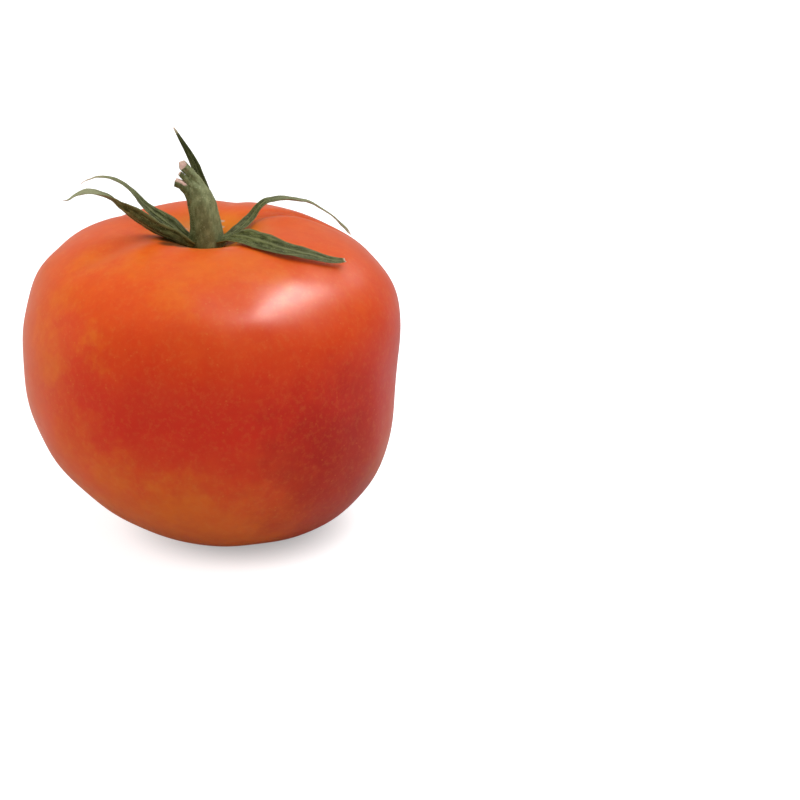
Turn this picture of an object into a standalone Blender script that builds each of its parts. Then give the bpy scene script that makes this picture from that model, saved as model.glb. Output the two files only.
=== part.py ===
"""A ripe slicing tomato: the fruit, the stub of its stem and the five sepals of its calyx.

Metres, +Z up. The fruit stands on its flat spot at z = 0, and the origin lies under the middle of
the stem hollow. +X is the side that the blossom end leans to. Angles turn from +X towards +Y.
"""

from math import atan2, cos, exp, hypot, pi, radians, sin

import bmesh
import bpy
from mathutils import Vector

# Fruit. Its widest level divides it into a crown above and a belly below.
FRUIT_WIDTH = 0.080
CROWN_HEIGHT = 0.029
BELLY_DEPTH = 0.0402
FLAT_SPOT_DEPTH = 0.0007  # how much of the belly's tip the flat spot takes away
CROWN_FULLNESS = 2.68  # 2 is an ellipse, more is squarer
BELLY_FULLNESS = 2.36
BLOSSOM_END_LEAN = 0.0057
HOLLOW_DEPTH = 0.0065
HOLLOW_RADIUS = 0.009
LOBES = 3
LOBE_SHARE = 0.006
LOBE_ANGLE = 75
FURROW_ANGLES = (18, 80, 140, 205, 262, 318)
FURROW_DEPTH = 0.0006
FURROW_HALF_WIDTH = 0.0028
FURROW_MIDDLE = 0.017  # distance from the axis where a furrow is deepest
FURROW_REACH = 0.009

# Stem
STEM_SHIFT = -0.0006  # the foot sits a little off the middle of the hollow
STEM_LENGTH = 0.0180
STEM_FOOT_RADIUS = 0.0040
STEM_RADIUS = 0.0028
STEM_TIP_RADIUS = 0.0031
STEM_LEAN = 0.0045  # how far the tip hangs over towards -X

# Sepals
SEPAL_ROOT_WIDTH = 0.0028
SEPAL_THICKNESS = 0.0008
SEPAL_ROOT_LIFT = 0.0011
SEATING_GAP = 0.0003

# For each sepal: its angle round the stem, its widest width, and the stations that its midline runs
# through after its root. A station is the distance out from the foot, the swing to the left as seen
# from the stem, and the height above the skin.
SEPALS = {
    "sepal_left_front": (205, 0.0046, (
        (0.0030, 0.0000, 0.0012), (0.0070, 0.0000, 0.0025), (0.0110, 0.0000, 0.0054),
        (0.0160, 0.0000, 0.0107), (0.0205, 0.0000, 0.0143), (0.0245, 0.0002, 0.0156),
        (0.0272, 0.0006, 0.0170))),
    "sepal_left_back": (151, 0.0042, (
        (0.0036, 0.0000, 0.0012), (0.0074, 0.0000, 0.0015), (0.0112, 0.0000, 0.0037),
        (0.0150, 0.0000, 0.0071), (0.0192, 0.0000, 0.0095), (0.0240, 0.0000, 0.0109),
        (0.0275, 0.0000, 0.0114))),
    "sepal_back": (82, 0.0034, (
        (0.0007, -0.0006, 0.0040), (0.0008, -0.0003, 0.0081), (0.0014, 0.0010, 0.0114),
        (0.0022, 0.0034, 0.0138), (0.0028, 0.0056, 0.0160), (0.0036, 0.0080, 0.0196))),
    "sepal_right_back": (33, 0.0042, (
        (0.0024, 0.0000, 0.0012), (0.0068, 0.0000, 0.0018), (0.0100, 0.0000, 0.0034),
        (0.0160, 0.0000, 0.0038), (0.0216, 0.0000, 0.0037), (0.0280, 0.0000, 0.0027),
        (0.0320, 0.0000, 0.0021))),
    "sepal_right_front": (-34, 0.0044, (
        (0.0030, 0.0001, 0.0022), (0.0064, -0.0007, 0.0018), (0.0102, -0.0012, 0.0012),
        (0.0140, -0.0010, 0.0010), (0.0200, 0.0005, 0.0011), (0.0242, 0.0048, 0.0014),
        (0.0260, 0.0084, 0.0018))),
}

# Fineness of the meshes
FRUIT_SEGMENTS = 56
FRUIT_RINGS = 40
CROWN_CROWDING = 1.4  # above 1, the rings lie closer together at the hollow than at the belly
STEM_SEGMENTS = 16
STEM_RINGS = 14
SEPAL_SEGMENTS = 8
STEPS_PER_STATION = 4
SEPAL_TAPER_START = 0.35  # share of its length at which a sepal starts to narrow
SEPAL_TIP_SHARE = 0.22  # of the widest width

FRUIT_RADIUS = FRUIT_WIDTH / 2
WIDEST_LEVEL = BELLY_DEPTH - FLAT_SPOT_DEPTH

FRUIT_COLOUR = (0.80, 0.13, 0.03, 1)
STEM_COLOUR = (0.13, 0.15, 0.06, 1)
SEPAL_COLOUR = (0.11, 0.15, 0.06, 1)


def clear_scene():
    for old in list(bpy.data.objects):
        bpy.data.objects.remove(old, do_unlink=True)


def make_material(name, colour, roughness):
    material = bpy.data.materials.new(name)
    material.use_nodes = True
    shader = material.node_tree.nodes["Principled BSDF"]
    shader.inputs["Base Color"].default_value = colour
    shader.inputs["Roughness"].default_value = roughness
    shader.inputs["Metallic"].default_value = 0
    return material


def make_object(name, mesh_maker, material):
    """Puts a bmesh into the scene as one smooth object of this name."""
    bmesh.ops.recalc_face_normals(mesh_maker, faces=mesh_maker.faces)
    mesh = bpy.data.meshes.new(name)
    mesh_maker.to_mesh(mesh)
    mesh_maker.free()
    mesh.materials.append(material)
    mesh.shade_smooth()
    mesh.set_sharp_from_angle(angle=radians(40))
    thing = bpy.data.objects.new(name, mesh)
    bpy.context.scene.collection.objects.link(thing)
    return thing


def loft(rings):
    """A closed body through rings of points, which all have the same count and turn the same way."""
    maker = bmesh.new()
    loops = [[maker.verts.new(point) for point in ring] for ring in rings]
    for lower, upper in zip(loops, loops[1:]):
        for side in range(len(lower)):
            after = (side + 1) % len(lower)
            maker.faces.new((lower[side], lower[after], upper[after], upper[side]))
    maker.faces.new(loops[0][::-1])
    maker.faces.new(loops[-1])
    return maker


def smooth_path(points, steps):
    """A Catmull-Rom curve through the points, with this many steps from each one to the next."""
    padded = [2 * points[0] - points[1], *points, 2 * points[-1] - points[-2]]
    path = []
    for before, start, end, after in zip(padded, padded[1:], padded[2:], padded[3:]):
        for step in range(steps):
            t = step / steps
            path.append(0.5 * (2 * start + (end - before) * t
                               + (2 * before - 5 * start + 4 * end - after) * t ** 2
                               + (3 * start - before - 3 * end + after) * t ** 3))
    return path + [points[-1]]


def lobed_radius(angle):
    return FRUIT_RADIUS * (1 + LOBE_SHARE * cos(LOBES * (angle - radians(LOBE_ANGLE))))


def furrow(distance, angle):
    """Depth of the shallow furrows that run down the shoulders, at a distance from the axis."""
    along = exp(-((distance - FURROW_MIDDLE) / FURROW_REACH) ** 2)
    depth = 0
    for middle in FURROW_ANGLES:
        turn = (angle - radians(middle) + pi) % (2 * pi) - pi
        depth += exp(-(turn * distance / FURROW_HALF_WIDTH) ** 2)
    return FURROW_DEPTH * along * depth


def skin_height(x, y):
    """Height of the crown's skin over a point."""
    distance = hypot(x, y)
    angle = atan2(y, x)
    share = min(distance / lobed_radius(angle), 1)
    crown = CROWN_HEIGHT * (1 - share ** CROWN_FULLNESS) ** (1 / CROWN_FULLNESS)
    hollow = HOLLOW_DEPTH * exp(-(distance / HOLLOW_RADIUS) ** 2)
    return WIDEST_LEVEL + crown - hollow - furrow(distance, angle)


def fruit_point(angle, polar):
    """A point of the skin. polar is 0 at the hollow and pi at the blossom end."""
    upper = polar < pi / 2
    height, fullness = (CROWN_HEIGHT, CROWN_FULLNESS) if upper else (BELLY_DEPTH, BELLY_FULLNESS)
    radius = lobed_radius(angle)
    reach = ((sin(polar) / radius) ** fullness + (abs(cos(polar)) / height) ** fullness) ** (-1 / fullness)
    x = reach * sin(polar) * cos(angle)
    y = reach * sin(polar) * sin(angle)
    if upper:
        return Vector((x, y, skin_height(x, y)))
    drop = reach * abs(cos(polar))
    lean = BLOSSOM_END_LEAN * (drop / BELLY_DEPTH) ** 2
    return Vector((x + lean, y, WIDEST_LEVEL - drop))


def make_fruit():
    maker = bmesh.new()
    rings = []
    for ring in range(1, FRUIT_RINGS):
        polar = pi * (ring / FRUIT_RINGS) ** CROWN_CROWDING
        rings.append([maker.verts.new(fruit_point(2 * pi * side / FRUIT_SEGMENTS, polar))
                      for side in range(FRUIT_SEGMENTS)])
    for upper, lower in zip(rings, rings[1:]):
        for side in range(FRUIT_SEGMENTS):
            after = (side + 1) % FRUIT_SEGMENTS
            maker.faces.new((upper[side], lower[side], lower[after], upper[after]))
    for ring, polar in ((rings[0], 0), (rings[-1], pi)):
        pole = maker.verts.new(fruit_point(0, polar))
        for side in range(FRUIT_SEGMENTS):
            maker.faces.new((pole, ring[side], ring[(side + 1) % FRUIT_SEGMENTS]))
    cut_flat_spot(maker)
    return make_object("fruit", maker, make_material("fruit_skin", FRUIT_COLOUR, 0.35))


def cut_flat_spot(maker):
    """Takes off the tip of the belly below z = 0 and closes it with one flat face."""
    everything = maker.verts[:] + maker.edges[:] + maker.faces[:]
    cut = bmesh.ops.bisect_plane(maker, geom=everything, plane_co=(0, 0, 0), plane_no=(0, 0, -1),
                                 clear_outer=True)
    rim = [part for part in cut["geom_cut"] if isinstance(part, bmesh.types.BMEdge)]
    bmesh.ops.contextual_create(maker, geom=rim)


def make_stem():
    """A round stub that widens into a foot, whose underside follows the floor of the hollow."""
    turns = [2 * pi * side / STEM_SEGMENTS for side in range(STEM_SEGMENTS)]
    rim = [(STEM_SHIFT + STEM_FOOT_RADIUS * cos(turn), STEM_FOOT_RADIUS * sin(turn)) for turn in turns]
    seat = max(skin_height(x, y) for x, y in rim) + SEATING_GAP
    middles = []
    radii = []
    for ring in range(STEM_RINGS + 1):
        share = ring / STEM_RINGS
        middles.append(Vector((STEM_SHIFT - STEM_LEAN * share ** 1.6, 0, seat + STEM_LENGTH * share)))
        flare = (STEM_FOOT_RADIUS - STEM_RADIUS) * exp(-(share / 0.3) ** 2.5)
        spread = (STEM_TIP_RADIUS - STEM_RADIUS) * share ** 3
        radii.append(STEM_RADIUS + flare + spread)
    rings = []
    for number, (middle, radius) in enumerate(zip(middles, radii)):
        before = middles[max(number - 1, 0)]
        after = middles[min(number + 1, STEM_RINGS)]
        back = Vector((0, 1, 0))
        across = back.cross(after - before).normalized()
        rings.append([middle + radius * (cos(turn) * across + sin(turn) * back) for turn in turns])
    rings[0] = [Vector((x, y, skin_height(x, y) + SEATING_GAP)) for x, y in rim]
    return make_object("stem", loft(rings), make_material("stem_green", STEM_COLOUR, 0.75))


def sepal_width(share, widest):
    """Width of a sepal at a share of its length: a narrow root, then the widest part, then the tip."""
    if share < SEPAL_TAPER_START:
        rise = sin(pi / 2 * share / SEPAL_TAPER_START)
        return SEPAL_ROOT_WIDTH + (widest - SEPAL_ROOT_WIDTH) * rise
    fall = (share - SEPAL_TAPER_START) / (1 - SEPAL_TAPER_START)
    return widest * (1 - (1 - SEPAL_TIP_SHARE) * fall ** 1.3)


def make_sepal(name, angle, widest, stations, material):
    """A thin curved blade whose root stands a seating gap away from the stem's foot."""
    outward = Vector((cos(radians(angle)), sin(radians(angle)), 0))
    leftward = Vector((-outward.y, outward.x, 0))
    root = STEM_FOOT_RADIUS + SEATING_GAP
    points = []
    for out, swing, lift in ((0, stations[0][1], SEPAL_ROOT_LIFT), *stations):
        point = Vector((STEM_SHIFT, 0, 0)) + (root + out) * outward + swing * leftward
        point.z = skin_height(point.x, point.y) + lift
        points.append(point)
    path = smooth_path(points, STEPS_PER_STATION)
    rings = []
    for number, middle in enumerate(path):
        along = path[min(number + 1, len(path) - 1)] - path[max(number - 1, 0)]
        across = leftward if number == 0 else (leftward - leftward.project(along)).normalized()
        above = Vector((0, 0, 1)) if number == 0 else along.cross(across).normalized()
        half_width = sepal_width(number / (len(path) - 1), widest) / 2
        rings.append([middle + half_width * cos(turn) * across + SEPAL_THICKNESS / 2 * sin(turn) * above
                      for turn in (2 * pi * side / SEPAL_SEGMENTS for side in range(SEPAL_SEGMENTS))])
    return make_object(name, loft(rings), material)


clear_scene()
make_fruit()
make_stem()
sepal_green = make_material("sepal_green", SEPAL_COLOUR, 0.7)
for sepal_name, (sepal_angle, sepal_widest, sepal_stations) in SEPALS.items():
    make_sepal(sepal_name, sepal_angle, sepal_widest, sepal_stations, sepal_green)
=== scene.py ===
from math import cos, pi, radians, sin

import bmesh
import bpy
import numpy as np
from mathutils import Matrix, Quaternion, Vector


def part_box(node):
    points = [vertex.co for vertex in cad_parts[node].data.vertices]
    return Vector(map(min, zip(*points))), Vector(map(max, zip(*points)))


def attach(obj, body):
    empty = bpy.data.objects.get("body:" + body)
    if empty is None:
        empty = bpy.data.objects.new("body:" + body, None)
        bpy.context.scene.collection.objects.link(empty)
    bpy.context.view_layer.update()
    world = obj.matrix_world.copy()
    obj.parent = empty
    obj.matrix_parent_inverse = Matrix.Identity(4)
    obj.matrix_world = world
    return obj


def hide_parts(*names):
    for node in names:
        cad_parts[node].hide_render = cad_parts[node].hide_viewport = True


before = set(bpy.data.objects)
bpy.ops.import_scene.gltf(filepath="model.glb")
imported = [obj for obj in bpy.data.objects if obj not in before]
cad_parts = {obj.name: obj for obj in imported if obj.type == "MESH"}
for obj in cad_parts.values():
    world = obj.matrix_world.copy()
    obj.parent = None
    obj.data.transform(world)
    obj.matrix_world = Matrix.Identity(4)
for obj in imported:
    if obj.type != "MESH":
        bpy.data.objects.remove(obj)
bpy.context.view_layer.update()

# A ripe slicing tomato that stands on its blossom end, in metres, with +Z up. Its blossom end leans to +X.

# ---------------------------------------------------------------- Camera, floor and light
# A long lens looks down on the shoulder of the fruit, which stands left of the middle of the picture.
# The floor is a plain white sheet that glows, and its glow fades round the fruit's foot as a painted
# shadow. A broad lamp hangs overhead, a soft box stands to the right, and two fills stand low at the left
# and in front. Two windows give the skin its shine.
CAMERA_AIM = Vector((0.0403, 0, 0.0282))
CAMERA_DISTANCE = 0.70
CAMERA_ELEVATION = radians(22)
CAMERA_LENS = 146.3

camera_data = bpy.data.cameras.new("camera")
camera_data.lens = CAMERA_LENS
camera_data.sensor_width = 36
camera_data.clip_start = 0.01
camera = bpy.data.objects.new("camera", camera_data)
camera.location = CAMERA_AIM + CAMERA_DISTANCE * Vector((0, -cos(CAMERA_ELEVATION), sin(CAMERA_ELEVATION)))
camera.rotation_euler = (pi / 2 - CAMERA_ELEVATION, 0, 0)
bpy.context.scene.collection.objects.link(camera)
bpy.context.scene.camera = camera
bpy.context.scene.view_settings.view_transform = "Standard"


def plain_material(name, colour, roughness):
    material = bpy.data.materials.new(name)
    material.use_nodes = True
    shader = material.node_tree.nodes["Principled BSDF"]
    shader.inputs["Base Color"].default_value = (*colour, 1)
    shader.inputs["Roughness"].default_value = roughness
    return material


def add_node(tree, kind, inputs=(), **settings):
    """A node with its settings made. An input is a value, or the output socket that feeds it."""
    node = tree.nodes.new(kind)
    for name, value in settings.items():
        setattr(node, name, value)
    for socket, value in dict(inputs).items():
        if isinstance(value, bpy.types.NodeSocket):
            tree.links.new(value, node.inputs[socket])
        else:
            node.inputs[socket].default_value = value
    return node


def between(tree, value, start, end, low=0.0, high=1.0, how="SMOOTHSTEP"):
    """Rises from low to high while the value goes from start to end."""
    node = add_node(tree, "ShaderNodeMapRange", {"Value": value, "From Min": start, "From Max": end,
                                                 "To Min": low, "To Max": high}, interpolation_type=how)
    return node.outputs["Result"]


def combine(tree, how, *values):
    return add_node(tree, "ShaderNodeMath", dict(enumerate(values)), operation=how).outputs[0]


def vector(tree, how, *values):
    node = add_node(tree, "ShaderNodeVectorMath", dict(enumerate(values)), operation=how)
    return node.outputs["Value" if how in ("LENGTH", "DISTANCE") else "Vector"]


FLOOR_HALF_SIZE = 4.0
FLOOR_GREY = (0.55, 0.55, 0.55)
# The sheet's glow shows it white, and fades towards the fruit's foot as a painted contact shadow, from one
# distance to the other.
GLOW_IN_PAINTED_SHADOW = 0.36
GLOW_ELSEWHERE = 0.84
FOOT_CENTRE = (0.0055, 0, 0)
PAINTED_SHADOW_FULL_TO = 0.012
PAINTED_SHADOW_GONE_FROM = 0.029
floor_mesh = bpy.data.meshes.new("floor")
floor_mesh.from_pydata([(x * FLOOR_HALF_SIZE, y * FLOOR_HALF_SIZE, 0)
                        for x, y in ((-1, -1), (1, -1), (1, 1), (-1, 1))], [], [(0, 1, 2, 3)])
floor_white = plain_material("floor_white", FLOOR_GREY, 0.9)
floor_mesh.materials.append(floor_white)
floor = bpy.data.objects.new("floor", floor_mesh)
bpy.context.scene.collection.objects.link(floor)
sheet = floor_white.node_tree
spot = add_node(sheet, "ShaderNodeTexCoord").outputs["Object"]
off_foot = vector(sheet, "DISTANCE", spot, FOOT_CENTRE)
# Painted shadow: the glow is weaker near the fruit's foot.
glow_with_painted_shadow = between(sheet, off_foot, PAINTED_SHADOW_FULL_TO, PAINTED_SHADOW_GONE_FROM, GLOW_IN_PAINTED_SHADOW, GLOW_ELSEWHERE)
seen = add_node(sheet, "ShaderNodeLightPath").outputs["Is Camera Ray"]
glow = add_node(sheet, "ShaderNodeEmission", {"Strength": combine(sheet, "MULTIPLY", seen, glow_with_painted_shadow)})
both = add_node(sheet, "ShaderNodeAddShader", {0: sheet.nodes["Principled BSDF"].outputs[0],
                                               1: glow.outputs[0]})
sheet.links.new(both.outputs[0], sheet.nodes["Material Output"].inputs["Surface"])


FRUIT_MIDDLE = Vector((0, 0, 0.04))


def soft_box(name, direction, distance, size, power, roll=0.0):
    """An oblong lamp that faces the middle of the fruit, rolled by some degrees about its own line."""
    data = bpy.data.lights.new(name, "AREA")
    data.shape = "RECTANGLE"
    data.size, data.size_y = size
    data.energy = power
    lamp = bpy.data.objects.new(name, data)
    toward = Vector(direction).normalized()
    lamp.location = FRUIT_MIDDLE + toward * distance
    turned = toward.to_track_quat("Z", "Y") @ Quaternion((0, 0, 1), radians(roll))
    lamp.rotation_euler = turned.to_euler()
    bpy.context.scene.collection.objects.link(lamp)
    return lamp


WINDOW_WAY = (0.47, 0.02, 0.87)
key_right = soft_box("key_right", WINDOW_WAY, 0.85, (0.95, 0.95), 2.65)
key_right.visible_glossy = False
window = soft_box("window", WINDOW_WAY, 0.84, (0.66, 0.20), 12.3, roll=-16)
window.visible_diffuse = False
far_window = soft_box("far_window", (0.56, 0.67, 0.49), 0.84, (0.08, 0.08), 0.25)
far_window.visible_diffuse = False
fill_left = soft_box("fill_left", (-0.95, 0.10, 0.05), 1.2, (0.9, 0.9), 8.0)
fill_left.visible_glossy = False
fill_front = soft_box("fill_front", (0.55, -0.80, 0.25), 1.2, (0.9, 0.9), 1.6)
fill_front.visible_glossy = False
OVERHEAD_STRENGTH = 1.05
OVERHEAD_SPREAD = radians(80)
overhead = bpy.data.lights.new("overhead", "SUN")
overhead.energy = OVERHEAD_STRENGTH
overhead.angle = OVERHEAD_SPREAD
overhead_lamp = bpy.data.objects.new("overhead", overhead)
overhead_lamp.rotation_euler = (radians(2), radians(-4), 0)
overhead_lamp.visible_glossy = False
bpy.context.scene.collection.objects.link(overhead_lamp)

ROOM_IN_FRONT = 0.32
ROOM_BEHIND = 0.42
world = bpy.data.worlds.new("studio")
world.use_nodes = True
room = world.node_tree
way = add_node(room, "ShaderNodeTexCoord").outputs["Generated"]
depth = add_node(room, "ShaderNodeSeparateXYZ", {0: way}).outputs["Y"]
walls = room.nodes["Background"].inputs
room.links.new(between(room, depth, -0.1, 0.9, ROOM_IN_FRONT, ROOM_BEHIND), walls["Strength"])
walls["Color"].default_value = (1, 1, 1, 1)
bpy.context.scene.world = world

# ---------------------------------------------------------------- Fruit
# The berry itself, one closed skin: full shoulders round a hollow for the stem, a belly that leans to
# one side, and a small flat spot at the blossom end that it stands on.
fruit_low, fruit_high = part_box("fruit")
FRUIT_RADIUS = (fruit_high[0] - fruit_low[0]) / 2
FRUIT_HEIGHT = fruit_high[2]
CROWN_HEIGHT = 0.431 * FRUIT_HEIGHT
BELLY_DEPTH = 0.5973 * FRUIT_HEIGHT
WIDEST_LEVEL = 0.5869 * FRUIT_HEIGHT
CROWN_FULLNESS = 2.68
BELLY_FULLNESS = 2.36
BLOSSOM_END_LEAN = 0.0057
HOLLOW_DEPTH = 0.0065
HOLLOW_RADIUS = 0.009
# Each shallow furrow down the shoulders: its angle, how it bends in degrees a metre, depth, half width.
FURROWS = ((34, -1000, 0.0013, 0.0020), (80, 0, 0.0005, 0.0026), (140, 0, 0.0006, 0.0026),
           (208, 0, 0.0005, 0.0030), (262, 0, 0.0003, 0.0030), (318, 0, 0.0003, 0.0030))
FURROW_MIDDLE = 0.020
FURROW_REACH = 0.010
# Where a shoulder stands fuller than the rest: its angle, level, spread round, spread up and down, amount.
FULL_SHOULDERS = ((2, 0.053, 32, 0.010, 0.0013), (182, 0.0600, 30, 0.006, 0.0007))
UNEVENNESS = 0.00006
UNEVEN_WAVES = 12
FRUIT_SEGMENTS = 288
FRUIT_RINGS = 190
RING_CROWDING = 1.25  # above one, the rings stand closer together towards the hollow


def lobed_radius(angle):
    return FRUIT_RADIUS * (1 + 0.006 * np.cos(3 * (angle - radians(75))))


def turn_from(angle, middle):
    """The signed angle, in radians, from a direction in degrees."""
    return (angle - np.radians(middle) + pi) % (2 * pi) - pi


def skin_height(x, y):
    """Height of the skin over a point of the crown. It takes numbers or arrays."""
    distance = np.hypot(x, y)
    angle = np.arctan2(y, x)
    share = np.minimum(distance / lobed_radius(angle), 1)
    crown = CROWN_HEIGHT * (1 - share ** CROWN_FULLNESS) ** (1 / CROWN_FULLNESS)
    hollow = HOLLOW_DEPTH * np.exp(-(distance / HOLLOW_RADIUS) ** 2)
    along = np.exp(-((distance - FURROW_MIDDLE) / FURROW_REACH) ** 2)
    grooves = 0
    for middle, bend, depth, half_width in FURROWS:
        turn = turn_from(angle, middle + bend * (distance - FURROW_MIDDLE))
        grooves = grooves + depth * np.exp(-(turn * distance / half_width) ** 2)
    return WIDEST_LEVEL + crown - hollow - along * grooves


def fruit_points(angle, polar):
    upper = polar < pi / 2
    fullness = np.where(upper, CROWN_FULLNESS, BELLY_FULLNESS)
    height = np.where(upper, CROWN_HEIGHT, BELLY_DEPTH)
    reach = ((np.sin(polar) / lobed_radius(angle)) ** fullness
             + (np.abs(np.cos(polar)) / height) ** fullness) ** (-1 / fullness)
    x = reach * np.sin(polar) * np.cos(angle)
    y = reach * np.sin(polar) * np.sin(angle)
    drop = reach * np.abs(np.cos(polar))
    lean = np.where(upper, 0, BLOSSOM_END_LEAN * (drop / BELLY_DEPTH) ** 2)
    z = np.where(upper, skin_height(x, y), WIDEST_LEVEL - drop)
    points = np.stack([x + lean, y, z], -1)
    outward = points - (0, 0, WIDEST_LEVEL)
    outward = outward / np.linalg.norm(outward, axis=-1, keepdims=True)
    points = points + outward * extra_growth(points, angle)[..., None]
    points[..., 2] = np.maximum(points[..., 2], 0)
    return points


def extra_growth(points, angle):
    """How much fuller than its plain shape the fruit has grown at each point."""
    growth = 0
    for middle, level, spread, reach, amount in FULL_SHOULDERS:
        turn = turn_from(angle, middle) / radians(spread)
        growth = growth + amount * np.exp(-turn ** 2 - ((points[..., 2] - level) / reach) ** 2)
    chance = np.random.default_rng(11)
    for _ in range(UNEVEN_WAVES):
        way = chance.normal(size=3)
        wave_length = chance.uniform(0.012, 0.034)
        phase = points @ (way / np.linalg.norm(way)) * 2 * pi / wave_length + chance.uniform(0, 2 * pi)
        growth = growth + UNEVENNESS * np.sin(phase)
    return growth


def link_mesh(name, points, faces, material):
    mesh = bpy.data.meshes.new(name)
    mesh.from_pydata([tuple(point) for point in points], [], faces)
    mesh.materials.append(material)
    mesh.shade_smooth()
    thing = bpy.data.objects.new(name, mesh)
    bpy.context.scene.collection.objects.link(thing)
    return thing


def fruit_mesh():
    polar = pi * (np.arange(1, FRUIT_RINGS) / FRUIT_RINGS) ** RING_CROWDING
    angle = 2 * pi * np.arange(FRUIT_SEGMENTS) / FRUIT_SEGMENTS
    grid = fruit_points(*np.broadcast_arrays(angle[None], polar[:, None]))
    top = fruit_points(np.array([0.0]), np.array([0.0]))
    bottom = fruit_points(np.array([0.0]), np.array([pi]))
    points = np.concatenate([grid.reshape(-1, 3), top, bottom])
    faces = []
    for ring in range(FRUIT_RINGS - 2):
        for side in range(FRUIT_SEGMENTS):
            after = (side + 1) % FRUIT_SEGMENTS
            upper, lower = ring * FRUIT_SEGMENTS, (ring + 1) * FRUIT_SEGMENTS
            faces.append((upper + side, lower + side, lower + after, upper + after))
    top_pole, bottom_pole = len(points) - 2, len(points) - 1
    last = (FRUIT_RINGS - 2) * FRUIT_SEGMENTS
    for side in range(FRUIT_SEGMENTS):
        after = (side + 1) % FRUIT_SEGMENTS
        faces.append((top_pole, side, after))
        faces.append((bottom_pole, last + after, last + side))
    return points, faces


def vector_part(tree, value, axis):
    return add_node(tree, "ShaderNodeSeparateXYZ", {0: value}).outputs[axis]


def clouds(tree, place, scale, detail=2.0, roughness=0.5, output="Fac"):
    node = add_node(tree, "ShaderNodeTexNoise", {"Vector": place, "Scale": scale, "Detail": detail,
                                                 "Roughness": roughness})
    return node.outputs[output]


def blend(tree, factor, first, second, how="MIX"):
    node = add_node(tree, "ShaderNodeMix", data_type="RGBA", blend_type=how)
    for socket, value in ((0, factor), (6, first), (7, second)):
        if isinstance(value, bpy.types.NodeSocket):
            tree.links.new(value, node.inputs[socket])
        elif socket == 0:
            node.inputs[socket].default_value = value
        else:
            node.inputs[socket].default_value = (*value, 1)
    return node.outputs[2]


def ramp(tree, value, stops):
    node = add_node(tree, "ShaderNodeValToRGB", {"Fac": value})
    node.color_ramp.interpolation = "B_SPLINE"
    elements = node.color_ramp.elements
    while len(elements) < len(stops):
        elements.new(0.5)
    for element, (place, colour) in zip(elements, stops):
        element.position = place
        element.color = (*colour, 1)
    return node.outputs["Color"]


# From the ground to the crown: a share of the height, and the skin's colour there.
SKIN_LEVELS = ((0.00, (0.86, 0.170, 0.010)), (0.20, (0.88, 0.170, 0.012)), (0.36, (0.84, 0.085, 0.010)),
               (0.50, (0.78, 0.020, 0.003)), (0.66, (0.78, 0.035, 0.005)), (0.84, (0.85, 0.090, 0.009)),
               (1.00, (0.88, 0.130, 0.010)))
SKIN_GOLDEN = (0.90, 0.200, 0.010)
SKIN_SIDE = (0.84, 0.17, 0.030)
SKIN_HOLLOW = (0.92, 0.27, 0.008)
SKIN_SPECK = (0.90, 0.30, 0.070)
SKIN_DEEP = (0.47, 0.008, 0.002)
SKIN_DUSK = (0.70, 0.035, 0.006)
# Colour of the painted shade round the roots of the calyx.
SKIN_PAINTED_SHADE = (0.080, 0.034, 0.010)
CORKY = (0.66, 0.52, 0.40)
BLOSSOM_SCAR = (0.16, 0.075, 0.030)
# Small corky marks on the wall of the hollow: their places in millimetres.
CORKY_MARKS = ((2.2, 8.7, 65.9), (2.4, 7.4, 65.0), (-5.5, 6.0, 65.0), (6.5, -4.5, 65.2))
# Painted shade on the skin round the roots of the calyx and on the near rim of the hollow: places and their
# reach, in millimetres.
CALYX_SHADE_PLACES = ((-6.4, -2.2, 64.7, 3.4), (-8.2, -4.8, 66.1, 3.0), (-6.5, -5.2, 65.6, 3.2),
               (-4.1, 0.3, 63.2, 3.2), (2.5, 3.4, 63.2, 3.2), (4.2, 2.8, 63.6, 3.3), (5.4, 1.2, 64.2, 2.8),
               (-7.6, -8.9, 66.9, 3.1), (-5.2, -9.3, 66.7, 3.0), (-3.0, -9.3, 66.4, 2.5))
# Patches that ripened golden: their middle and their reach, in millimetres.
GOLDEN_PATCHES = ((-5, -27, 64, 7), (0, -22, 66, 8), (8, -18, 67, 7), (-14, -17, 66, 7), (-24, -12, 64, 6),
                  (-29, -18, 58, 6), (-34, -18, 50, 5), (-31, -24, 45, 7), (-22, -30, 53, 5),
                  (-24, -25, 33, 10), (-20, -32, 26, 8), (-6, -34, 20, 9), (14, -22, 64, 6),
                  (20, 24, 60, 9), (-16, 28, 58, 9), (30, 20, 34, 9), (-26, 24, 30, 9))


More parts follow.
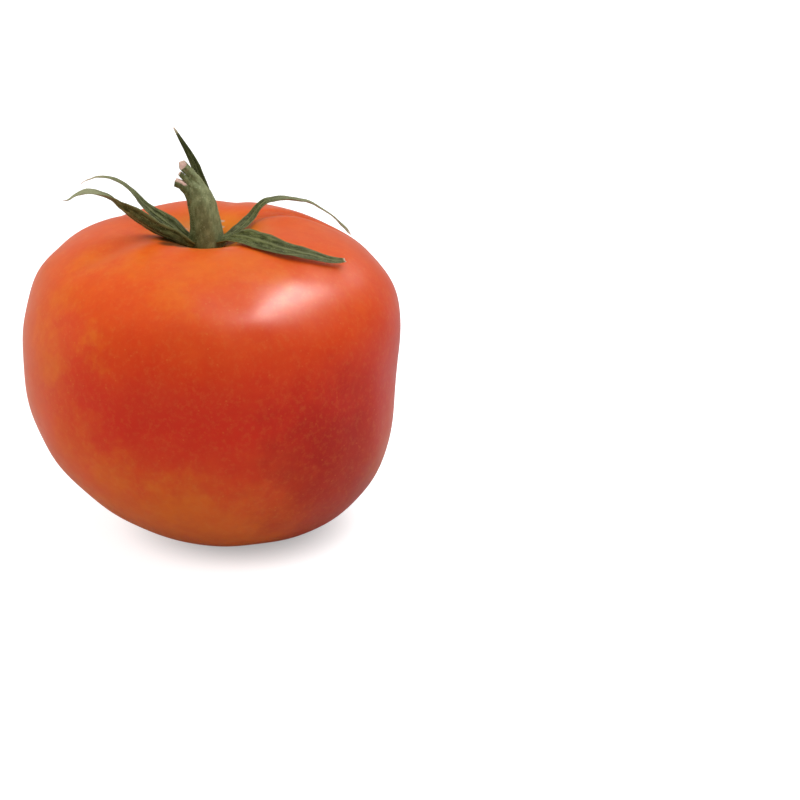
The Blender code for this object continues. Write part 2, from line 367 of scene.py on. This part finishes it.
def fruit_material():
    """Ripe skin: red sides, orange shoulders and underside, golden patches, pale specks, a waxy shine,
    painted shade round the roots of the calyx, and a deep red lower right that is partly painted shade.
    """
    material = plain_material("tomato_skin", (1, 1, 1), 0.3)
    tree = material.node_tree
    shader = tree.nodes["Principled BSDF"]
    place = add_node(tree, "ShaderNodeTexCoord").outputs["Object"]
    in_mm = add_node(tree, "ShaderNodeVectorMath", {0: place, "Scale": 1000}, operation="SCALE").outputs[0]
    across, height = vector_part(tree, in_mm, "X"), vector_part(tree, in_mm, "Z")
    radius = vector(tree, "LENGTH", vector(tree, "MULTIPLY", in_mm, (1, 1, 0)))
    drift = vector(tree, "SUBTRACT", clouds(tree, in_mm, 0.13, 6.0, 0.66, "Color"), (0.5, 0.5, 0.5))
    wavering = vector(tree, "MULTIPLY_ADD", drift, (20, 20, 20), in_mm)
    level = vector_part(tree, wavering, "Z")
    colour = ramp(tree, between(tree, level, 0.0, 68.0, how="LINEAR"), SKIN_LEVELS)
    side = between(tree, across, -24.0, -40.0, 0.0, 0.7)
    colour = blend(tree, side, colour, SKIN_SIDE)
    golden = 0.0
    for x, y, z, reach in GOLDEN_PATCHES:
        near = between(tree, vector(tree, "DISTANCE", wavering, (x, y, z)), reach * 1.3, 0.0, 0.0, 0.60)
        golden = combine(tree, "MAXIMUM", golden, near)
    colour = blend(tree, golden, colour, SKIN_GOLDEN)
    # The lower right is painted deep red: partly riper skin, partly painted shade.
    ripe_and_painted_shade = between(tree, vector_part(tree, wavering, "X"), 5.0, 25.0, 0.0, 0.84)
    ripe_and_painted_shade = combine(tree, "MULTIPLY", ripe_and_painted_shade, between(tree, level, 52.0, 30.0))
    ripe_and_painted_shade = combine(tree, "MULTIPLY", ripe_and_painted_shade, between(tree, across, 41.0, 31.0))
    colour = blend(tree, ripe_and_painted_shade, colour, SKIN_DEEP)
    hollow = between(tree, radius, 15.0, 6.0)
    hollow = combine(tree, "MULTIPLY", hollow, between(tree, height, 55.0, 62.0))
    colour = blend(tree, hollow, colour, SKIN_HOLLOW)
    mottle = between(tree, clouds(tree, in_mm, 0.9, 5.0, 0.7), 0.46, 0.74, 0.0, 0.20)
    colour = blend(tree, mottle, colour, SKIN_SPECK)
    dusk = between(tree, clouds(tree, in_mm, 0.33, 4.0, 0.6), 0.36, 0.64, 0.0, 0.16)
    colour = blend(tree, dusk, colour, SKIN_DUSK)
    specks = add_node(tree, "ShaderNodeTexVoronoi", {"Vector": in_mm, "Scale": 0.75})
    speck = between(tree, specks.outputs["Distance"], 0.20, 0.08)
    few = between(tree, clouds(tree, in_mm, 0.21), 0.46, 0.66, 0.0, 0.30)
    colour = blend(tree, combine(tree, "MULTIPLY", speck, few), colour, SKIN_SPECK)
    # Painted shade on the skin round the roots of the calyx and on the near rim of the hollow.
    calyx_shade = 0.0
    for x, y, z, reach in CALYX_SHADE_PLACES:
        near = between(tree, vector(tree, "DISTANCE", in_mm, (x, y, z)), reach, reach * 0.4, 0.0, 0.9)
        calyx_shade = combine(tree, "MAXIMUM", calyx_shade, near)
    colour = blend(tree, calyx_shade, colour, SKIN_PAINTED_SHADE)
    for mark in CORKY_MARKS:
        spot = vector(tree, "MULTIPLY", vector(tree, "SUBTRACT", in_mm, mark), (0.8, 1.3, 2.6))
        pale = between(tree, vector(tree, "LENGTH", spot), 0.75, 0.35, 0.0, 0.75)
        colour = blend(tree, pale, colour, CORKY)
    scar_place = vector(tree, "MULTIPLY_ADD", drift, (5, 5, 0), in_mm)
    scar = between(tree, vector(tree, "DISTANCE", scar_place, (5.7, 0, 0)), 2.4, 1.6)
    colour = blend(tree, scar, colour, BLOSSOM_SCAR)
    tree.links.new(colour, shader.inputs["Base Color"])
    rough = between(tree, clouds(tree, in_mm, 0.25, 3.0), 0.3, 0.7, 0.30, 0.35)
    tree.links.new(rough, shader.inputs["Roughness"])
    shader.inputs["IOR"].default_value = 1.33
    shader.inputs["Subsurface Weight"].default_value = 0.30
    shader.inputs["Subsurface Radius"].default_value = (1.0, 0.25, 0.08)
    shader.inputs["Subsurface Scale"].default_value = 0.003
    return material


def finish_piece(piece, node):
    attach(piece, "root")
    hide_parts(node)


finish_piece(link_mesh("fruit_skin", *fruit_mesh(), fruit_material()), "fruit")

# ---------------------------------------------------------------- Stem
# The stub of the fruit's own stalk: a ribbed, hairy green tube with a swollen foot that grew out of the
# floor of the hollow. It was torn from the vine, so its end is split into three prongs with raw faces.
stem_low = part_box("stem")[0]
STEM_FOOT_X = -0.0006
MM = 0.001
# The tube's middle line and half width, in millimetres: across from the foot, height over the foot's
# lowest point, half width.
STEM_TUBE = ((0.0, 0.15, 3.05), (0.0, 0.45, 3.75), (0.0, 1.0, 3.95), (0.0, 1.8, 3.82), (0.05, 2.9, 3.58),
             (0.05, 4.4, 3.32), (-0.30, 7.2, 3.10), (-0.85, 10.0, 2.95), (-1.6, 12.2, 2.45),
             (-2.4, 13.7, 1.85), (-3.1, 14.9, 1.15), (-3.6, 15.6, 0.55))
# The upper, middle and lower prong, each from inside the tube to its tip, in millimetres: across, towards
# the back, height, half width, half thickness. Then how raw its torn side is, and how slanted its end.
STEM_PRONGS = (
    (((-0.5, 0.0, 8.5, 2.0, 2.2), (-0.85, 0.0, 11.0, 1.8, 2.0), (-1.3, 0.1, 13.2, 1.45, 1.6),
      (-2.1, 0.2, 14.9, 1.15, 1.3), (-2.9, 0.3, 16.1, 1.02, 1.1), (-3.7, 0.3, 17.0, 1.0, 1.0),
      (-4.4, 0.3, 17.8, 1.0, 1.0)), 0.0, 0.9),
    (((-1.6, -0.7, 10.8, 1.1, 1.0), (-2.4, -0.8, 13.1, 0.80, 0.8), (-3.5, -0.8, 14.9, 0.62, 0.6),
      (-4.4, -0.7, 15.8, 0.58, 0.5), (-5.2, -0.6, 16.5, 0.50, 0.4)), 0.3, 0.4),
    (((-1.9, -0.5, 8.4, 1.6, 1.5), (-2.6, -0.7, 11.2, 1.35, 1.4), (-3.5, -0.9, 12.8, 1.05, 1.2),
      (-4.7, -1.0, 14.0, 0.92, 1.0), (-5.5, -1.1, 14.5, 0.90, 0.85), (-6.2, -1.1, 14.7, 0.88, 0.75)),
     0.9, 0.0),
)
PRONG_SQUARENESS = 2.4
# Rings under the foot: a share of its reach, and how high over the floor of the hollow.
STEM_FOOT_RINGS = ((0.45, 0.0001), (0.80, 0.0002), (1.0, 0.0005))
STEM_RIBS = 7
STEM_RIB_SHARE = 0.035
STEM_SEGMENTS = 56
TUBE_STEPS = 12
PRONG_SEGMENTS = 28
PRONG_STEPS = 9
STEM_DARK = (0.052, 0.062, 0.015)
STEM_MIDDLE = (0.190, 0.218, 0.078)
STEM_LIGHT = (0.40, 0.43, 0.22)
STEM_RAW = (0.86, 0.56, 0.47)
STEM_STRAW = (0.46, 0.36, 0.20)


def smooth_rows(rows, steps):
    """A Catmull-Rom curve through rows of numbers, with this many steps from each row to the next."""
    rows = np.array(rows, float)
    rows = np.concatenate([2 * rows[:1] - rows[1:2], rows, 2 * rows[-1:] - rows[-2:-1]])
    share = np.arange(steps)[:, None] / steps
    pieces = []
    for before, start, end, after in zip(rows, rows[1:], rows[2:], rows[3:]):
        pieces.append(0.5 * (2 * start + (end - before) * share
                             + (2 * before - 5 * start + 4 * end - after) * share ** 2
                             + (3 * start - before - 3 * end + after) * share ** 3))
    return np.concatenate([*pieces, rows[-2:-1]])


def unit(vectors):
    return vectors / np.linalg.norm(vectors, axis=-1, keepdims=True)


def loft(rings):
    """Points and faces of a closed body through rings of points, with a pole at each end."""
    count = rings.shape[1]
    points = np.concatenate([rings.reshape(-1, 3), rings[:1].mean(1), rings[-1:].mean(1)])
    faces = []
    for ring in range(len(rings) - 1):
        for side in range(count):
            after = (side + 1) % count
            faces.append((ring * count + side, ring * count + after,
                          (ring + 1) * count + after, (ring + 1) * count + side))
    last = (len(rings) - 1) * count
    for side in range(count):
        after = (side + 1) % count
        faces.append((len(points) - 2, after, side))
        faces.append((len(points) - 1, last + side, last + after))
    return points, faces


def set_layer(thing, name, values):
    """Gives a mesh one number for each of its points, which its material reads by name."""
    layer = thing.data.attributes.new(name, "FLOAT", "POINT")
    layer.data.foreach_set("value", np.asarray(values, np.float32))


def ripple(points, size, seed):
    """Smooth random ups and downs, from -1 to 1, about this size across."""
    chance = np.random.default_rng(seed)
    total = 0
    for _ in range(6):
        way = unit(chance.normal(size=3)) * 2 * pi / (size * chance.uniform(0.7, 1.5))
        total = total + np.sin(points @ way + chance.uniform(0, 2 * pi))
    return total / 3.5


def stem_tube():
    rows = smooth_rows(STEM_TUBE, TUBE_STEPS)
    turn = 2 * pi * np.arange(STEM_SEGMENTS) / STEM_SEGMENTS
    middles = np.stack([STEM_FOOT_X + rows[:, 0] * MM, 0 * rows[:, 0], stem_low[2] + rows[:, 1] * MM], -1)
    along = unit(np.gradient(middles, axis=0))
    back = np.array((0.0, 1.0, 0.0))
    across = unit(np.cross(back, along))
    height = rows[:, 1] / rows[-1, 1]
    ribs = 1 + STEM_RIB_SHARE * np.cos(STEM_RIBS * turn[None] + 1.1 + 1.5 * height[:, None])
    reach = rows[:, 2:3] * MM * ribs
    rings = (middles[:, None] + reach[..., None] * (np.cos(turn)[None, :, None] * across[:, None]
                                                    + np.sin(turn)[None, :, None] * back))
    rings = rings + unit(rings - middles[:, None]) * (0.00010 * ripple(rings, 0.0022, 3))[..., None]
    foot = []
    for share, lift in STEM_FOOT_RINGS:
        flat = rings[0] * (1, 1, 0)
        centre = flat.mean(0)
        ring = centre + (flat - centre) * share * 1.03
        ring[:, 2] = skin_height(ring[:, 0], ring[:, 1]) + lift
        foot.append(ring)
    return loft(np.concatenate([np.array(foot), rings]))


def stem_prong(rows, raw_side, cut, seed):
    """One torn prong. It also gives how raw each point is."""
    rows = smooth_rows(rows, PRONG_STEPS)
    middles = rows[:, :3] * MM + (STEM_FOOT_X, 0, stem_low[2])
    along = unit(np.gradient(middles, axis=0))
    back = np.array((0.0, 1.0, 0.0))
    across = unit(np.cross(back, along))
    turn = 2 * pi * np.arange(PRONG_SEGMENTS) / PRONG_SEGMENTS
    squared = np.abs(np.cos(turn)) ** PRONG_SQUARENESS + np.abs(np.sin(turn)) ** PRONG_SQUARENESS
    ribs = squared ** (-1 / PRONG_SQUARENESS) * (1 + 0.05 * np.cos(6 * turn + seed))
    wide = (rows[:, 3] * MM)[:, None, None] * (ribs * np.cos(turn))[None, :, None]
    thick = (rows[:, 4] * MM)[:, None, None] * (ribs * np.sin(turn))[None, :, None]
    rings = middles[:, None] + wide * across[:, None] + thick * back
    rings = rings + unit(rings - middles[:, None]) * (0.00009 * ripple(rings, 0.0016, seed))[..., None]
    tip_ring = rings[-1]
    rugged = ripple(tip_ring, 0.0012, seed + 5)[:, None] * 0.00016 * along[-1]
    rugged = rugged + np.clip((tip_ring - middles[-1])[:, 1:2], -1, 1) * cut * along[-1]
    rings[-1] = tip_ring + rugged
    lip = middles[-1] + (tip_ring - middles[-1]) * 0.62 - 0.00018 * along[-1] + rugged * 0.6
    rings = np.concatenate([rings, lip[None]])
    share = np.linspace(0, 1, len(rings) - 1)
    raw = np.zeros(rings.shape[:2])
    facing = np.clip(np.cos(turn) * 1.4 - 0.4, 0, 1) ** 0.5
    raw[:-1] = raw_side * facing[None] * np.clip((share - 0.45) / 0.14, 0, 1)[:, None]
    if cut > 0:
        raw[-2] = np.maximum(raw[-2], 0.35)
        raw[-1] = 1
    points, faces = loft(rings)
    return points, faces, np.concatenate([raw.ravel(), [0, raw[-1].mean()]])


def green_material(name):
    """A material and its tree for green parts, with its place in millimetres."""
    material = plain_material(name, (1, 1, 1), 0.7)
    tree = material.node_tree
    place = add_node(tree, "ShaderNodeTexCoord").outputs["Object"]
    in_mm = add_node(tree, "ShaderNodeVectorMath", {0: place, "Scale": 1000}, operation="SCALE").outputs[0]
    return material, tree, tree.nodes["Principled BSDF"], in_mm


def stem_material():
    """Olive green with darker and paler fibres along it, pale dots, pink raw wood where it tore, and
    painted light on its right side with painted shade on its left side and towards its foot.
    """
    material, tree, shader, in_mm = green_material("stalk_green")
    fibres = clouds(tree, vector(tree, "MULTIPLY", in_mm, (1.1, 1.1, 0.45)), 1.0, 5.0, 0.68)
    colour = ramp(tree, fibres, ((0.30, STEM_DARK), (0.50, STEM_MIDDLE), (0.72, STEM_LIGHT)))
    blotch = between(tree, clouds(tree, in_mm, 0.6, 3.0), 0.44, 0.64, 0.0, 0.5)
    colour = blend(tree, blotch, colour, STEM_DARK)
    dots = add_node(tree, "ShaderNodeTexVoronoi", {"Vector": in_mm, "Scale": 1.1})
    dot = between(tree, dots.outputs["Distance"], 0.26, 0.12, 0.0, 0.55)
    colour = blend(tree, dot, colour, STEM_LIGHT)
    level = vector_part(tree, in_mm, "Z")
    # Painted light and shade: the stem is painted lighter on its right side, darker on its left side, and
    # darker towards its foot in the hollow.
    painted_light_side = combine(tree, "MULTIPLY_ADD", level, 0.17, vector_part(tree, in_mm, "X"))
    colour = blend(tree, between(tree, painted_light_side, 7.4, 13.0, 0.0, 0.34), colour, STEM_LIGHT)
    colour = blend(tree, between(tree, painted_light_side, 11.4, 7.4, 0.0, 0.50), colour, STEM_DARK)
    colour = blend(tree, between(tree, level, 72.0, 63.0, 0.0, 0.45), colour, STEM_DARK)
    raw = add_node(tree, "ShaderNodeAttribute", attribute_name="raw").outputs["Fac"]
    pith = between(tree, clouds(tree, in_mm, 1.5, 3.0), 0.35, 0.65)
    torn = blend(tree, pith, STEM_RAW, STEM_STRAW)
    colour = blend(tree, between(tree, raw, 0.25, 0.75), colour, blend(tree, 0.75, torn, STEM_RAW))
    tree.links.new(colour, shader.inputs["Base Color"])
    bump = add_node(tree, "ShaderNodeBump", {"Height": fibres, "Strength": 0.35, "Distance": 0.0002})
    tree.links.new(bump.outputs["Normal"], shader.inputs["Normal"])
    shader.inputs["Roughness"].default_value = 0.72
    shader.inputs["Specular IOR Level"].default_value = 0.15
    return material


def point_outward(thing):
    maker = bmesh.new()
    maker.from_mesh(thing.data)
    bmesh.ops.recalc_face_normals(maker, faces=maker.faces)
    maker.to_mesh(thing.data)
    maker.free()


def hair_tree(hair_material):
    """Geometry nodes that scatter short slanting hairs over a surface and keep the surface."""
    tree = bpy.data.node_groups.new("hairs", "GeometryNodeTree")
    tree.is_modifier = True
    face = tree.interface
    face.new_socket("Surface", in_out="INPUT", socket_type="NodeSocketGeometry")
    for name, kind in (("Hairs per square metre", "NodeSocketFloat"), ("Hair length", "NodeSocketFloat"),
                       ("Hair thickness", "NodeSocketFloat"), ("Seed", "NodeSocketInt")):
        face.new_socket(name, in_out="INPUT", socket_type=kind)
    face.new_socket("Surface", in_out="OUTPUT", socket_type="NodeSocketGeometry")
    given = add_node(tree, "NodeGroupInput").outputs
    spread = add_node(tree, "GeometryNodeDistributePointsOnFaces",
                      {"Mesh": given["Surface"], "Density": given["Hairs per square metre"],
                       "Seed": given["Seed"]})
    hair = add_node(tree, "GeometryNodeMeshCone",
                    {"Vertices": 3, "Radius Top": 0.0, "Radius Bottom": given["Hair thickness"],
                     "Depth": given["Hair length"]})
    slant = add_node(tree, "FunctionNodeRandomValue", {0: (-0.7, -0.7, -0.7), 1: (0.7, 0.7, 0.7),
                                                       "Seed": given["Seed"]}, data_type="FLOAT_VECTOR")
    way = vector(tree, "ADD", spread.outputs["Normal"], slant.outputs[0])
    stand = add_node(tree, "FunctionNodeAlignRotationToVector", {"Vector": way}, axis="Z")
    size = add_node(tree, "FunctionNodeRandomValue", {2: 0.4, 3: 1.0, "Seed": given["Seed"]},
                    data_type="FLOAT")
    many = add_node(tree, "GeometryNodeInstanceOnPoints",
                    {"Points": spread.outputs["Points"], "Instance": hair.outputs["Mesh"],
                     "Rotation": stand.outputs["Rotation"], "Scale": size.outputs[1]})
    real = add_node(tree, "GeometryNodeRealizeInstances", {0: many.outputs[0]})
    painted = add_node(tree, "GeometryNodeSetMaterial", {0: real.outputs[0], "Material": hair_material})
    both = add_node(tree, "GeometryNodeJoinGeometry")
    tree.links.new(painted.outputs[0], both.inputs[0])
    tree.links.new(given["Surface"], both.inputs[0])
    result = add_node(tree, "NodeGroupOutput")
    tree.links.new(both.outputs[0], result.inputs[0])
    return tree


HAIR_PALE_GREEN = (0.42, 0.44, 0.20)
HAIR_LENGTH = 0.0005
HAIR_THICKNESS = 0.000018
HAIR_TREE = hair_tree(plain_material("pale_hair", HAIR_PALE_GREEN, 0.6))


def grow_hairs(thing, per_square_mm, seed):
    """Covers a finished piece with hairs, as a plain mesh with no modifier left on it."""
    modifier = thing.modifiers.new("hairs", "NODES")
    modifier.node_group = HAIR_TREE
    values = {"Hairs per square metre": per_square_mm * 1e6, "Hair length": HAIR_LENGTH,
              "Hair thickness": HAIR_THICKNESS, "Seed": seed}
    for socket in HAIR_TREE.interface.items_tree:
        if socket.in_out == "INPUT" and socket.name in values:
            modifier[socket.identifier] = values[socket.name]
    graph = bpy.context.evaluated_depsgraph_get()
    mesh = bpy.data.meshes.new_from_object(thing.evaluated_get(graph), preserve_all_data_layers=True,
                                           depsgraph=graph)
    thing.modifiers.remove(modifier)
    thing.data = mesh


def make_stem():
    points, faces = stem_tube()
    raw = [np.zeros(len(points))]
    all_points, all_faces = [points], list(faces)
    for number, (rows, raw_side, cut) in enumerate(STEM_PRONGS):
        start = sum(map(len, all_points))
        points, faces, prong_raw = stem_prong(rows, raw_side, cut, 20 + number)
        all_points.append(points)
        raw.append(prong_raw)
        all_faces += [tuple(start + corner for corner in face) for face in faces]
    stem = link_mesh("stem_stub", np.concatenate(all_points), all_faces, stem_material())
    point_outward(stem)
    set_layer(stem, "raw", np.concatenate(raw))
    grow_hairs(stem, 5.0, 4)
    return stem


finish_piece(make_stem(), "stem")

# ---------------------------------------------------------------- Sepals
# The five narrow green leaves of the calyx, which spread from under the stem's foot. They are thin folded
# blades with a midrib, wavy edges and fine hairs, and their tips have dried to pale threads.
STEM_FOOT_REACH = 0.0043  # from the middle of the foot to the roots of the sepals
SEPAL_THICKNESS = 0.00050
MIDRIB_DEPTH = 0.00022
SEPAL_STRIPS = 14
SEPAL_STEPS = 7
# For each sepal: its angle round the stem, where along it the drying starts, how much painted light pales
# it towards its tip (a negative amount paints shade there instead), how wavy its edges are, and its
# stations. A station is, in millimetres and degrees: out from the foot, swing to the left, height over the
# skin, width, roll about its own line, and how far its two halves are folded up.
SEPALS = {
    "sepal_left_front": (205, 0.93, 0.9, 0.25, (
        (-2.4, 0.3, 1.2, 2.6, 10, 16), (0.0, 0.8, 0.75, 3.4, 30, 22), (2.9, 1.0, 0.85, 4.3, 40, 26),
        (7.1, 0.4, 1.7, 5.0, 42, 30), (11.2, 0.1, 4.7, 4.8, 38, 30), (14.3, 0.0, 8.0, 3.9, 22, 28),
        (16.4, 0.0, 10.5, 2.9, 4, 26), (18.4, 0.0, 12.4, 2.3, -10, 22), (20.9, 0.0, 14.2, 1.9, -20, 18),
        (22.8, 0.1, 15.1, 1.5, -20, 16), (24.7, 0.2, 15.8, 0.9, -10, 16), (26.2, 0.4, 16.2, 0.6, 10, 10),
        (27.3, 0.7, 17.2, 0.3, 30, 0))),
    "sepal_left_back": (150, 0.72, 0.6, 0.2, (
        (-2.4, 0.4, 1.6, 2.8, 0, 20), (0.1, 1.2, 0.9, 3.6, -6, 22), (3.7, 1.1, 0.9, 4.1, -14, 22),
        (7.3, 0.9, 1.2, 3.3, -16, 22), (9.7, 0.6, 2.0, 2.6, -16, 22), (11.6, 0.4, 3.2, 2.0, -12, 22),
        (13.3, 0.2, 4.7, 1.6, -6, 20), (15.0, 0.0, 6.2, 1.5, 0, 18), (17.4, 0.0, 7.9, 1.3, 0, 16),
        (19.6, 0.0, 9.1, 1.0, -10, 14), (21.9, 0.0, 10.1, 0.8, -20, 10), (24.4, 0.0, 10.8, 0.65, -20, 0),
        (26.2, 0.0, 11.2, 0.5, -20, 0), (27.6, 0.0, 11.3, 0.3, -20, 0))),
    "sepal_back": (82, 0.92, -0.55, 0.15, (
        (-1.5, -0.4, 3.2, 2.4, 0, 10), (0.3, -0.2, 4.2, 2.4, 0, 14), (0.7, 0.1, 6.2, 2.3, 0, 16),
        (0.8, 0.4, 8.1, 2.2, 4, 18), (1.4, 1.4, 10.4, 2.1, 4, 18), (1.8, 2.6, 12.7, 2.05, 4, 18),
        (2.3, 3.4, 13.9, 1.95, 4, 16), (2.7, 4.9, 16.0, 1.4, 6, 14), (3.1, 6.6, 18.1, 0.85, 8, 8),
        (3.7, 8.1, 19.9, 0.35, 8, 0))),
    "sepal_right_back": (33, 0.86, 0.8, 0.12, (
        (-2.6, -1.7, 2.6, 2.6, 0, 10), (0.0, -2.2, 2.1, 2.8, 0, 14), (2.1, -2.1, 1.7, 3.2, 0, 18),
        (4.6, -1.1, 1.1, 3.5, 0, 20), (7.1, -0.2, 1.4, 3.0, 4, 22), (8.8, 0.0, 2.8, 2.3, 8, 22),
        (10.4, 0.0, 3.7, 2.1, 12, 22), (12.8, 0.0, 4.2, 2.0, 12, 20), (16.0, 0.0, 4.75, 1.7, 10, 18),
        (20.0, 0.0, 4.1, 1.2, 14, 12), (24.0, 0.0, 2.9, 0.85, 16, 8), (27.5, 0.0, 2.4, 0.7, 20, 0),
        (29.4, 0.0, 1.8, 0.9, 40, 20), (30.7, 0.0, 1.7, 0.8, 60, 25), (31.6, 0.0, 1.7, 0.3, 60, 10))),
    "sepal_right_front": (-34, 0.97, 0.15, 0.15, (
        (-2.4, 1.0, 2.5, 2.8, 0, 8), (0.4, 0.2, 2.2, 3.3, 6, 10), (3.1, -0.2, 2.0, 3.7, 14, 12),
        (6.5, -1.6, 1.4, 4.6, 20, 13), (10.3, -2.6, 1.0, 5.1, 20, 14), (13.8, -2.4, 1.0, 4.7, 20, 14),
        (17.1, -1.6, 1.0, 3.9, 20, 15), (20.1, -0.2, 1.15, 3.2, 20, 16), (22.3, 1.7, 1.15, 2.5, 18, 18),
        (24.3, 4.0, 1.05, 2.0, 12, 24), (25.4, 5.9, 1.3, 1.7, 6, 30), (26.0, 7.6, 1.6, 1.3, 0, 40))),
}
SEPAL_DARK = (0.034, 0.038, 0.007)
SEPAL_MIDDLE = (0.098, 0.115, 0.031)
SEPAL_LIGHT = (0.25, 0.265, 0.10)
SEPAL_PALE = (0.42, 0.42, 0.24)
SEPAL_STRAW = (0.48, 0.42, 0.25)
SEPAL_DRY = (0.93, 0.75, 0.63)


def sepal_material():
    """Olive green with fibres along the blade, a pale midrib and edges, tips dried to straw, and painted
    light that pales some tips and painted shade that darkens one.
    """
    material, tree, shader, in_mm = green_material("calyx_green")
    uv = add_node(tree, "ShaderNodeUVMap", uv_map="along_the_blade").outputs[0]
    across = add_node(tree, "ShaderNodeSeparateXYZ", {0: uv}).outputs["X"]
    off_middle = combine(tree, "ABSOLUTE", combine(tree, "SUBTRACT", across, 0.5))
    fibres = clouds(tree, vector(tree, "MULTIPLY", uv, (9, 14, 1)), 1.0, 4.0, 0.65)
    colour = ramp(tree, fibres, ((0.34, SEPAL_DARK), (0.50, SEPAL_MIDDLE), (0.70, SEPAL_LIGHT)))
    blotch = between(tree, clouds(tree, in_mm, 0.5, 3.0), 0.42, 0.62, 0.0, 0.5)
    colour = blend(tree, blotch, colour, SEPAL_DARK)
    rib = between(tree, off_middle, 0.07, 0.015, 0.0, 0.6)
    colour = blend(tree, rib, colour, SEPAL_LIGHT)
    edge = between(tree, off_middle, 0.40, 0.49, 0.0, 0.55)
    colour = blend(tree, edge, colour, SEPAL_LIGHT)
    # Painted light pales the outer part of a blade; where this layer is negative, painted shade darkens it.
    pale = add_node(tree, "ShaderNodeAttribute", attribute_name="pale").outputs["Fac"]
    colour = blend(tree, between(tree, pale, 0.0, 1.0, 0.0, 0.8), colour, SEPAL_PALE)
    colour = blend(tree, between(tree, pale, 0.0, -1.0), colour, SEPAL_DARK)
    dry = add_node(tree, "ShaderNodeAttribute", attribute_name="dry").outputs["Fac"]
    colour = blend(tree, between(tree, dry, 0.0, 0.5), colour, SEPAL_STRAW)
    colour = blend(tree, between(tree, dry, 0.4, 1.0), colour, SEPAL_DRY)
    tree.links.new(colour, shader.inputs["Base Color"])
    bump = add_node(tree, "ShaderNodeBump", {"Height": fibres, "Strength": 0.4, "Distance": 0.0002})
    tree.links.new(bump.outputs["Normal"], shader.inputs["Normal"])
    shader.inputs["Roughness"].default_value = 0.66
    shader.inputs["Specular IOR Level"].default_value = 0.15
    return material


def sepal_rings(angle, waviness, stations, seed):
    """The blade's rings of points, with each point's place across and along it."""
    rows = smooth_rows(stations, SEPAL_STEPS)
    outward = np.array((cos(radians(angle)), sin(radians(angle)), 0))
    leftward = np.array((-outward[1], outward[0], 0))
    reach = (STEM_FOOT_REACH + rows[:, 0] * MM)[:, None] * outward
    middles = np.array((STEM_FOOT_X, 0, 0)) + reach + (rows[:, 1] * MM)[:, None] * leftward
    middles[:, 2] = skin_height(middles[:, 0], middles[:, 1]) + rows[:, 2] * MM
    along = unit(np.gradient(middles, axis=0))
    flat = unit(leftward - along * (along @ leftward)[:, None])
    above = np.cross(along, flat)
    roll = np.radians(rows[:, 4])[:, None]
    across = flat * np.cos(roll) + above * np.sin(roll)
    above = np.cross(along, across)
    half_width = rows[:, 3] / 2 * MM
    fold = np.radians(rows[:, 5])[:, None]
    place = np.linspace(-1, 1, SEPAL_STRIPS + 1)[None]
    share = np.linspace(0, 1, len(rows))[:, None]
    left_wave = np.sin(2 * pi * 4.3 * share + seed)
    right_wave = np.sin(2 * pi * 5.1 * share + 2.4 * seed)
    wave = np.where(place < 0, left_wave, right_wave)
    out = half_width[:, None] * place * np.cos(fold)
    up = half_width[:, None] * ((np.sqrt(place ** 2 + 0.03) - 0.17) * np.sin(fold)
                                + 0.10 * np.cos(3 * pi * place) * (1 - place ** 2)
                                + waviness * 0.35 * place ** 4 * wave)
    thin = np.minimum(1, half_width[:, None] / 0.0007)
    thick = SEPAL_THICKNESS * (1 - 0.75 * place ** 2) * thin
    rib = MIDRIB_DEPTH * np.exp(-(place / 0.2) ** 2) * thin
    spine = middles[:, None] + out[..., None] * across[:, None]
    top = spine + (up + thick / 2)[..., None] * above[:, None]
    bottom = spine + (up - thick / 2 - rib)[..., None] * above[:, None]
    rings = np.concatenate([top, bottom[:, ::-1]], 1)
    rings = rings + (0.00006 * ripple(rings, 0.0028, seed))[..., None] * above[:, None]
    sides = np.broadcast_to((place + 1) / 2, top.shape[:2])
    sides = np.concatenate([sides, sides[:, ::-1]], 1)
    return rings, sides, np.broadcast_to(share, sides.shape)


def make_sepal(name, number, angle, drying, tip_light_and_shade, waviness, stations, material):
    rings, sides, shares = sepal_rings(angle, waviness, stations, number + 1)
    sepal = link_mesh(name + "_blade", *loft(rings), material)
    point_outward(sepal)
    across = np.concatenate([sides.ravel(), [0.5, 0.5]])
    along = np.concatenate([shares.ravel(), [0, 1]])
    corners = np.zeros(len(sepal.data.loops), np.int32)
    sepal.data.loops.foreach_get("vertex_index", corners)
    layer = sepal.data.uv_layers.new(name="along_the_blade")
    layer.data.foreach_set("uv", np.stack([across[corners], along[corners]], -1).astype(np.float32).ravel())
    set_layer(sepal, "dry", np.clip((along - drying) / (1 - drying), 0, 1))
    # A positive amount paints light towards the tip, a negative amount paints shade there.
    start = 0.40 if tip_light_and_shade > 0 else -0.30
    set_layer(sepal, "pale", tip_light_and_shade * np.clip((along - start) / 0.30, 0, 1))
    grow_hairs(sepal, 4.0, 30 + number)
    finish_piece(sepal, name)


calyx_green = sepal_material()
for order, (sepal_name, sepal_form) in enumerate(SEPALS.items()):
    make_sepal(sepal_name, order, *sepal_form, calyx_green)
